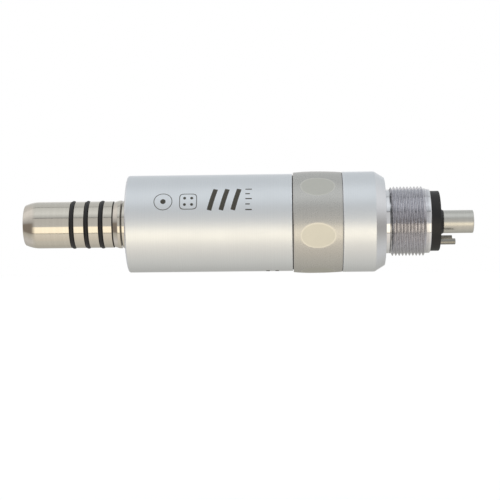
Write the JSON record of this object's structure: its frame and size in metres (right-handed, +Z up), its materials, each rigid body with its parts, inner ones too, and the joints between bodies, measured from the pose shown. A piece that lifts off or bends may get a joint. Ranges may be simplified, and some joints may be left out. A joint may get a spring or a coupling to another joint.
{
  "type": "dental air motor",
  "caption": "Low-speed dental air motor: O-ring spigot nose, satin barrel, dimpled forward/stop/reverse ring, rear cap and threaded four-hole hose connector.",
  "frame": {"origin": "on the axis of rotation, at the barrel's front shoulder, where the handpiece seats", "axes": "+X along the axis towards the hose, -X towards the nose, +Z up, with the small tubes below"},
  "size_m": [0.0932, 0.0212, 0.0212],
  "materials": {
    "satin_silver": "satin",
    "polished_steel": "finely turned and polished",
    "champagne": "satin champagne anodised, frosted dimples",
    "black_rubber": "matt",
    "machined_steel": "machined",
    "bearing_steel": "ground",
    "spring_steel": "oiled",
    "aluminium_parts": "machined",
    "brass_parts": "machined",
    "vane_composite": "woven phenolic"
  },
  "bodies": {
    "housing": {"nose_spigot": "polished_steel", "nose_oring_front": "black_rubber", "nose_oring_middle": "black_rubber", "nose_oring_rear": "black_rubber", "barrel": "satin_silver", "barrel_seal_front": "black_rubber", "barrel_seal_rear": "black_rubber", "shaft_seal": "black_rubber", "front_plate": "machined_steel", "cylinder_liner": "machined_steel", "rear_plate": "machined_steel", "alignment_pins": "machined_steel", "bearing_housing": "machined_steel", "preload_washer": "spring_steel", "front_outer_race": "bearing_steel", "rear_outer_race": "bearing_steel", "water_line": "machined_steel", "air_line": "machined_steel", "valve_body": "aluminium_parts", "valve_circlip": "spring_steel", "ring_seal_front": "black_rubber", "ring_seal_rear": "black_rubber", "rear_cap": "satin_silver", "connector_seal": "black_rubber", "hose_connector": "polished_steel", "exhaust_tube": "polished_steel", "water_tube": "polished_steel", "chip_air_tube": "polished_steel", "hose_gasket": "black_rubber"},
    "rotor": {"drive_shaft": "machined_steel", "rotor": "aluminium_parts", "vane_1": "vane_composite", "vane_2": "vane_composite", "vane_3": "vane_composite", "vane_4": "vane_composite", "front_inner_race": "bearing_steel", "rear_inner_race": "bearing_steel", "shaft_circlip": "spring_steel", "dog_pin": "machined_steel", "dog_spring": "spring_steel"},
    "front_ball_set": {"front_cage": "brass_parts", "front_balls": "bearing_steel"},
    "rear_ball_set": {"rear_cage": "brass_parts", "rear_balls": "bearing_steel"},
    "drive_dog": {"drive_dog": "polished_steel"},
    "selector": {"regulator_ring": "champagne", "selector_pin": "machined_steel", "selector_valve": "brass_parts", "valve_seal_front": "black_rubber", "valve_seal_rear": "black_rubber"}
  },
  "joints": [
    {"name": "rotor_spin", "type": "hinge", "parent": "housing", "child": "rotor", "pos_m": [0, 0, 0], "axis": [1, 0, 0], "continuous": true},
    {"name": "front_balls_roll", "type": "hinge", "parent": "housing", "child": "front_ball_set", "pos_m": [0.005, 0, 0], "axis": [1, 0, 0], "continuous": true},
    {"name": "rear_balls_roll", "type": "hinge", "parent": "housing", "child": "rear_ball_set", "pos_m": [0.0264, 0, 0], "axis": [1, 0, 0], "continuous": true},
    {"name": "dog_push", "type": "slide", "parent": "rotor", "child": "drive_dog", "axis": [1, 0, 0], "range_m": [0, 0.0015], "stiffness_N_per_m": 400, "springref_m": -0.002, "deforming": ["dog_spring"]},
    {"name": "selector_turn", "type": "hinge", "parent": "housing", "child": "selector", "pos_m": [0.0394, 0, 0], "axis": [1, 0, 0], "range_deg": [-40, 40]}
  ],
  "couplings": [
    {"joint": "front_balls_roll", "follows": "rotor_spin", "ratio": 0.3556},
    {"joint": "rear_balls_roll", "follows": "rotor_spin", "ratio": 0.3556}
  ]
}
